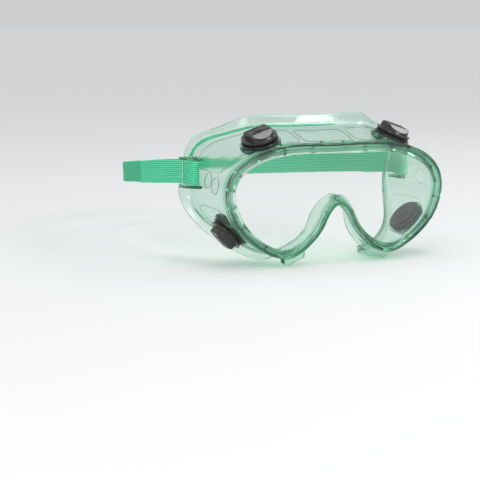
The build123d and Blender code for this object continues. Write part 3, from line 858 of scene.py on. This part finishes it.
def headband():
    """Ribbed elastic strap with both free ends turned round the loops' bars."""
    path, stretch_and_shade = strap_path()
    travel = np.concatenate([[0], np.cumsum(np.linalg.norm(np.diff(path, axis=0), axis=1))])
    tangent = np.gradient(path, travel, axis=0)
    tangent /= np.linalg.norm(tangent, axis=1)[:, None]
    count = STRAP_RIBS * RIB_STEPS
    across = np.linspace(-1, 1, count + 1)
    rib = np.abs(np.sin(np.arange(count + 1) / RIB_STEPS * math.pi)) ** 0.6
    thick = RIB_VALLEY + RIB_HEIGHT * rib
    face = np.stack([across * BAND_WIDTH / 2, thick], 1)
    section = np.concatenate([face, face[::-1] * np.array([1, -1])])
    pivot_y = row_y(FLEX_LINE)
    grid = []
    for (x, y), (tx, ty), s, stretch in zip(path, tangent, travel, stretch_and_shade):
        wave = 0.12 * math.sin(s / 5.3) + 0.08 * math.sin(s / 2.1 + 1.3)
        behind = min(max((y - pivot_y) / 10 + 0.5, 0), 1)
        tilt = math.radians(BAND_TILT)
        reach = max(y - pivot_y, 0)
        width = Vector((0, -math.sin(tilt) * behind, math.cos(tilt * behind))).normalized()
        centre = Vector((x, y - reach * (1 - math.cos(tilt)), BAND_Z + reach * math.sin(tilt)))
        along = Vector((tx, ty * math.cos(tilt * behind), ty * math.sin(tilt) * behind)).normalized()
        width = (width - along * width.dot(along)).normalized()
        normal = along.cross(width)
        narrow = (1 - STRAP_NARROWED * stretch) * (1 + wave / BAND_WIDTH)
        grid.append([centre + width * w * narrow + normal * n for w, n in section])
    rows, columns = len(grid), len(section)
    points = np.array(grid).reshape(-1, 3)
    faces = grid_faces(rows, columns, False, True)
    faces += [tuple(range(columns))[::-1], tuple(range(len(points) - columns, len(points)))]
    made = new_object("headband_look", points, faces)
    place = made.data.attributes.new("strap_place", "FLOAT_VECTOR", "POINT")
    values = np.zeros((rows, columns, 3), np.float32)
    values[:, :, 0] = travel[:, None]
    values[:, :, 1] = section[None, :, 0]
    # Third value: the stretch share, which the material also uses for painted shade round the back of the
    # head.
    values[:, :, 2] = stretch_and_shade[:, None]
    place.data.foreach_set("vector", values.ravel())
    return smooth(outward(made, merge=False), 60)


# ---------------------------------------------------------------- materials
class Nodes:
    """Short way to build a material's nodes."""

    def __init__(self, name):
        self.material = bpy.data.materials.new(name)
        self.start(self.material, "ShaderNodeOutputMaterial")

    def start(self, owner, output):
        owner.use_nodes = True
        self.tree = owner.node_tree
        self.tree.nodes.clear()
        self.output = self.add(output)

    @classmethod
    def of_world(cls, name):
        n = cls.__new__(cls)
        bpy.context.scene.world = bpy.data.worlds.new(name)
        n.start(bpy.context.scene.world, "ShaderNodeOutputWorld")
        return n

    def add(self, kind, inputs=None, **settings):
        node = self.tree.nodes.new(kind)
        for key, value in settings.items():
            setattr(node, key, value)
        for key, value in (inputs or {}).items():
            if isinstance(value, bpy.types.NodeSocket):
                self.tree.links.new(value, node.inputs[key])
            else:
                node.inputs[key].default_value = value
        return node

    def link(self, socket, node, key):
        self.tree.links.new(socket, node.inputs[key])

    def noise(self, vector, scale, detail=3.0):
        node = self.add("ShaderNodeTexNoise", {"Vector": vector, "Scale": scale, "Detail": detail})
        return node.outputs["Fac"]

    def maths(self, operation, *values, clamp=False):
        node = self.add("ShaderNodeMath", operation=operation, use_clamp=clamp)
        for socket, value in zip(node.inputs, values):
            if isinstance(value, bpy.types.NodeSocket):
                self.tree.links.new(value, socket)
            else:
                socket.default_value = value
        return node.outputs[0]

    def place(self):
        return self.add("ShaderNodeTexCoord").outputs["Object"]

    def ramp(self, value, low, high, start=0.0, end=1.0):
        node = self.add("ShaderNodeMapRange", {0: value, 1: low, 2: high, 3: start, 4: end})
        return node.outputs[0]

    def mix_colour(self, share, first, second):
        node = self.add("ShaderNodeMix", data_type="RGBA")
        self.link(share, node, 0)
        node.inputs[6].default_value = (*first, 1)
        node.inputs[7].default_value = (*second, 1)
        return node.outputs[2]

    def bump(self, height, distance, normal=None):
        node = self.add("ShaderNodeBump", {"Height": height, "Distance": distance, "Strength": 1.0})
        if normal is not None:
            self.link(normal, node, "Normal")
        return node.outputs["Normal"]


def clear_material(name, roughness, ior, absorb, density, veil, veil_share, wave, wave_scale):
    """Clear plastic that bends light and takes colour with depth. Lamps shine through it."""
    n = Nodes(name)
    place = n.place()
    ripple = n.bump(n.noise(place, wave_scale, 2.0), wave)
    fine = n.bump(n.noise(place, 2600.0, 2.0), wave * 0.04, ripple)
    rough = n.ramp(n.noise(place, 140.0, 4.0), 0.3, 0.7, roughness * 0.6, roughness * 1.5)
    glass = n.add("ShaderNodeBsdfPrincipled", {
        "Base Color": (1, 1, 1, 1), "Roughness": rough, "IOR": ior,
        "Transmission Weight": 1.0, "Normal": fine})
    haze = n.add("ShaderNodeBsdfDiffuse", {"Color": (*veil, 1), "Normal": fine})
    body = n.add("ShaderNodeMixShader", {0: veil_share, 1: glass.outputs[0], 2: haze.outputs[0]})
    clear = n.add("ShaderNodeBsdfTransparent", {"Color": (0.95, 0.97, 0.96, 1)})
    lamp = n.add("ShaderNodeLightPath").outputs["Is Shadow Ray"]
    surface = n.add("ShaderNodeMixShader", {0: lamp, 1: body.outputs[0], 2: clear.outputs[0]})
    n.link(surface.outputs[0], n.output, "Surface")
    depth = n.add("ShaderNodeVolumeAbsorption", {"Color": (*absorb, 1), "Density": density})
    n.link(depth.outputs[0], n.output, "Volume")
    return n.material


def black_plastic():
    """Black moulded plastic with a fine spark-eroded grain and paler rubbed patches."""
    n = Nodes("vent_black")
    place = n.place()
    patch = n.noise(place, 260.0, 4.0)
    colour = n.mix_colour(n.ramp(patch, 0.35, 0.7), (0.016, 0.015, 0.014), (0.024, 0.022, 0.021))
    rough = n.ramp(n.noise(place, 900.0, 3.0), 0.3, 0.7, 0.16, 0.24)
    grain = n.bump(n.noise(place, 4200.0, 3.0), 0.000012)
    shine = n.add("ShaderNodeBsdfPrincipled", {
        "Base Color": colour, "Roughness": rough, "IOR": 1.5, "Normal": grain})
    n.link(shine.outputs[0], n.output, "Surface")
    return n.material


def strap_elastic():
    """Green elastic webbing: rubber ribs under fine crossing threads, with painted highlight and painted
    shade in bands across the ribs and painted shade along the part round the back of the head.
    """
    n = Nodes("strap_elastic")
    place = n.add("ShaderNodeAttribute", attribute_name="strap_place").outputs["Vector"]
    axes = n.add("ShaderNodeSeparateXYZ", {0: place})
    along, across, stretch = axes.outputs
    rib_pitch = BAND_WIDTH / STRAP_RIBS
    # rib gives one bright and one dark band per rib pitch: painted highlight and painted shade across the
    # ribs.
    rib = n.maths("ABSOLUTE", n.maths("SINE", n.maths("MULTIPLY", across, math.pi / rib_pitch)))
    slant = n.maths("ADD", along, n.maths("MULTIPLY", across, 0.35))
    thread = n.maths("SINE", n.maths("MULTIPLY", slant, 2 * math.pi / 0.62))
    thread = n.maths("MULTIPLY", thread, n.ramp(rib, 0.1, 0.6))
    weave = n.add("ShaderNodeVectorMath", {0: place, 1: (0.5, 2.2, 0)}, operation="MULTIPLY")
    mottle = n.noise(weave.outputs[0], 1.2, 5.0)
    tone = n.maths("ADD", n.maths("MULTIPLY", rib, 0.8), n.maths("MULTIPLY", mottle, 0.35))
    tone = n.maths("ADD", tone, n.maths("MULTIPLY", thread, 0.07))
    # Darker along the part round the back of the head: painted shade, masked by the stretch share.
    tone = n.maths("SUBTRACT", tone, n.maths("MULTIPLY", stretch, 0.22), clamp=True)
    # From the dark colour of the painted shade to the bright colour of the painted highlight.
    colour = n.mix_colour(n.ramp(tone, 0.1, 1.0), (0.003, 0.29, 0.125), (0.16, 0.93, 0.56))
    height = n.maths("ADD", n.maths("MULTIPLY", thread, 0.5), n.maths("MULTIPLY", mottle, 0.6))
    bump = n.bump(height, 0.00016)
    cloth = n.add("ShaderNodeBsdfPrincipled", {
        "Base Color": colour, "Roughness": 0.6, "Specular IOR Level": 0.25, "Sheen Weight": 0.08,
        "Sheen Roughness": 0.4, "Sheen Tint": (0.7, 1.0, 0.85, 1), "Normal": bump})
    n.link(cloth.outputs[0], n.output, "Surface")
    return n.material


def floor_paint():
    """Pale matt floor."""
    n = Nodes("floor_pale")
    tone = n.mix_colour(n.noise(n.place(), 3.0, 2.0), (0.76, 0.76, 0.755), (0.79, 0.79, 0.785))
    paint = n.add("ShaderNodeBsdfPrincipled", {"Base Color": tone, "Roughness": 0.7})
    n.link(paint.outputs[0], n.output, "Surface")
    return n.material


def dress(obj, material):
    """The object with one material."""
    obj.data.materials.clear()
    obj.data.materials.append(material)
    return obj


# ---------------------------------------------------------------- the pieces
pvc = clear_material(
    "frame_pvc", roughness=0.02, ior=1.47, absorb=(0.04, 0.63, 0.38), density=165.0,
    veil=(0.40, 0.80, 0.60), veil_share=0.035, wave=0.00016, wave_scale=70.0)
polycarbonate = clear_material(
    "lens_clear", roughness=0.008, ior=1.45, absorb=(0.50, 0.72, 0.62), density=55.0,
    veil=(0.70, 0.78, 0.75), veil_share=0.006, wave=0.00004, wave_scale=25.0)
black = black_plastic()
elastic = strap_elastic()

body = dress(frame_body(), pvc)
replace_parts(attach(body, "frame"), "frame_body")
glass = dress(lens(), polycarbonate)
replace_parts(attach(glass, "frame"), "lens")

for tag in VENTS:
    axes = vent_axes(tag)
    makers = {"body": vent_body, "retainer": vent_retainer, "baffle": vent_baffle, "cap": vent_cap}
    for kind, make in makers.items():
        piece = smooth(placed(make(tag), *axes), 32)
        dress(piece, black)
        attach(piece, f"cap_{tag}" if kind == "cap" else "frame")
        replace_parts(piece, f"vent_{kind}_{tag}")

strap = headband()
dress(strap, elastic)
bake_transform(strap)
hands = ("left", "right")
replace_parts(strap, "headband", *(f"headband_{kind}_{hand}" for kind in ("tail", "turn") for hand in hands))


# ---------------------------------------------------------------- floor, light and camera
BACKDROP = 0.62            # brightness behind the object, near that of the far floor
SENSOR, FOCAL_LENGTH = 36.0, 116.26    # millimetres
CAMERA_PLACE = (-0.4927, -0.9109, 0.1108)
CAMERA_RIGHT, CAMERA_UP = (0.8988, -0.4384, 0.0), (0.0613, 0.1256, 0.9902)
LIGHT_BOUNCES = 32         # the clear walls lie several deep


def studio():
    """Pale floor and a soft room that is brighter overhead."""
    ground = cad_box[0].z - 0.0005
    work = bmesh.new()
    bmesh.ops.create_circle(work, cap_ends=True, segments=96, radius=40.0)
    floor = finished("floor", work)
    floor.location = (0, 0, ground)
    floor.data.materials.append(floor_paint())

    n = Nodes.of_world("studio")
    height = n.add("ShaderNodeSeparateXYZ", {0: n.add("ShaderNodeTexCoord").outputs["Generated"]}).outputs[2]
    bright = n.ramp(height, 0.0, 0.8, 0.45, 0.95)
    room = n.add("ShaderNodeBackground", {"Color": (0.96, 0.98, 1.0, 1), "Strength": bright})
    backdrop = n.add("ShaderNodeBackground", {"Color": (1, 1, 1, 1), "Strength": BACKDROP})
    path = n.add("ShaderNodeLightPath")
    seen = n.maths("MAXIMUM", path.outputs["Is Camera Ray"], path.outputs["Is Transmission Ray"])
    both = n.add("ShaderNodeMixShader", {0: seen, 1: room.outputs[0], 2: backdrop.outputs[0]})
    n.link(both.outputs[0], n.output, "Surface")


def softbox(name, place, target, size, power):
    """Rectangular lamp turned towards a target."""
    data = bpy.data.lights.new(name, "AREA")
    data.shape = "RECTANGLE"
    data.size, data.size_y = size
    data.energy = power
    lamp = bpy.data.objects.new(name, data)
    bpy.context.scene.collection.objects.link(lamp)
    lamp.location = place
    lamp.rotation_euler = (Vector(target) - Vector(place)).to_track_quat("-Z", "Y").to_euler()


def camera():
    """Camera at the reference angle."""
    data = bpy.data.cameras.new("camera")
    data.sensor_width, data.lens = SENSOR, FOCAL_LENGTH
    data.clip_start, data.clip_end = 0.01, 200.0
    made = bpy.data.objects.new("camera", data)
    bpy.context.scene.collection.objects.link(made)
    right, up = Vector(CAMERA_RIGHT), Vector(CAMERA_UP)
    back = right.cross(up)
    rows = [[right[i], up[i], back[i], CAMERA_PLACE[i]] for i in range(3)]
    made.matrix_world = Matrix(rows + [[0, 0, 0, 1]])
    bpy.context.scene.camera = made


studio()
brow = (0.0, -0.005, 0.045)
softbox("brow_box", (0.40, -0.76, 0.50), brow, (0.42, 0.22), 2.6)
softbox("cap_box_low", (-0.78, -0.70, 0.29), (-0.07, -0.02, -0.03), (0.14, 0.22), 1.1)
softbox("key", (-0.9, -0.9, 1.3), (0, 0.05, 0), (0.6, 0.5), 3.0)
softbox("cap_box_right", (0.065, -0.20, 1.22), brow, (0.24, 0.24), 1.6)
softbox("cap_box_left", (0.96, 0.17, 0.80), brow, (0.30, 0.30), 1.6)
camera()
scene = bpy.context.scene
scene.view_settings.view_transform = "Standard"
scene.cycles.max_bounces = LIGHT_BOUNCES
scene.cycles.transmission_bounces = LIGHT_BOUNCES
scene.cycles.transparent_max_bounces = LIGHT_BOUNCES
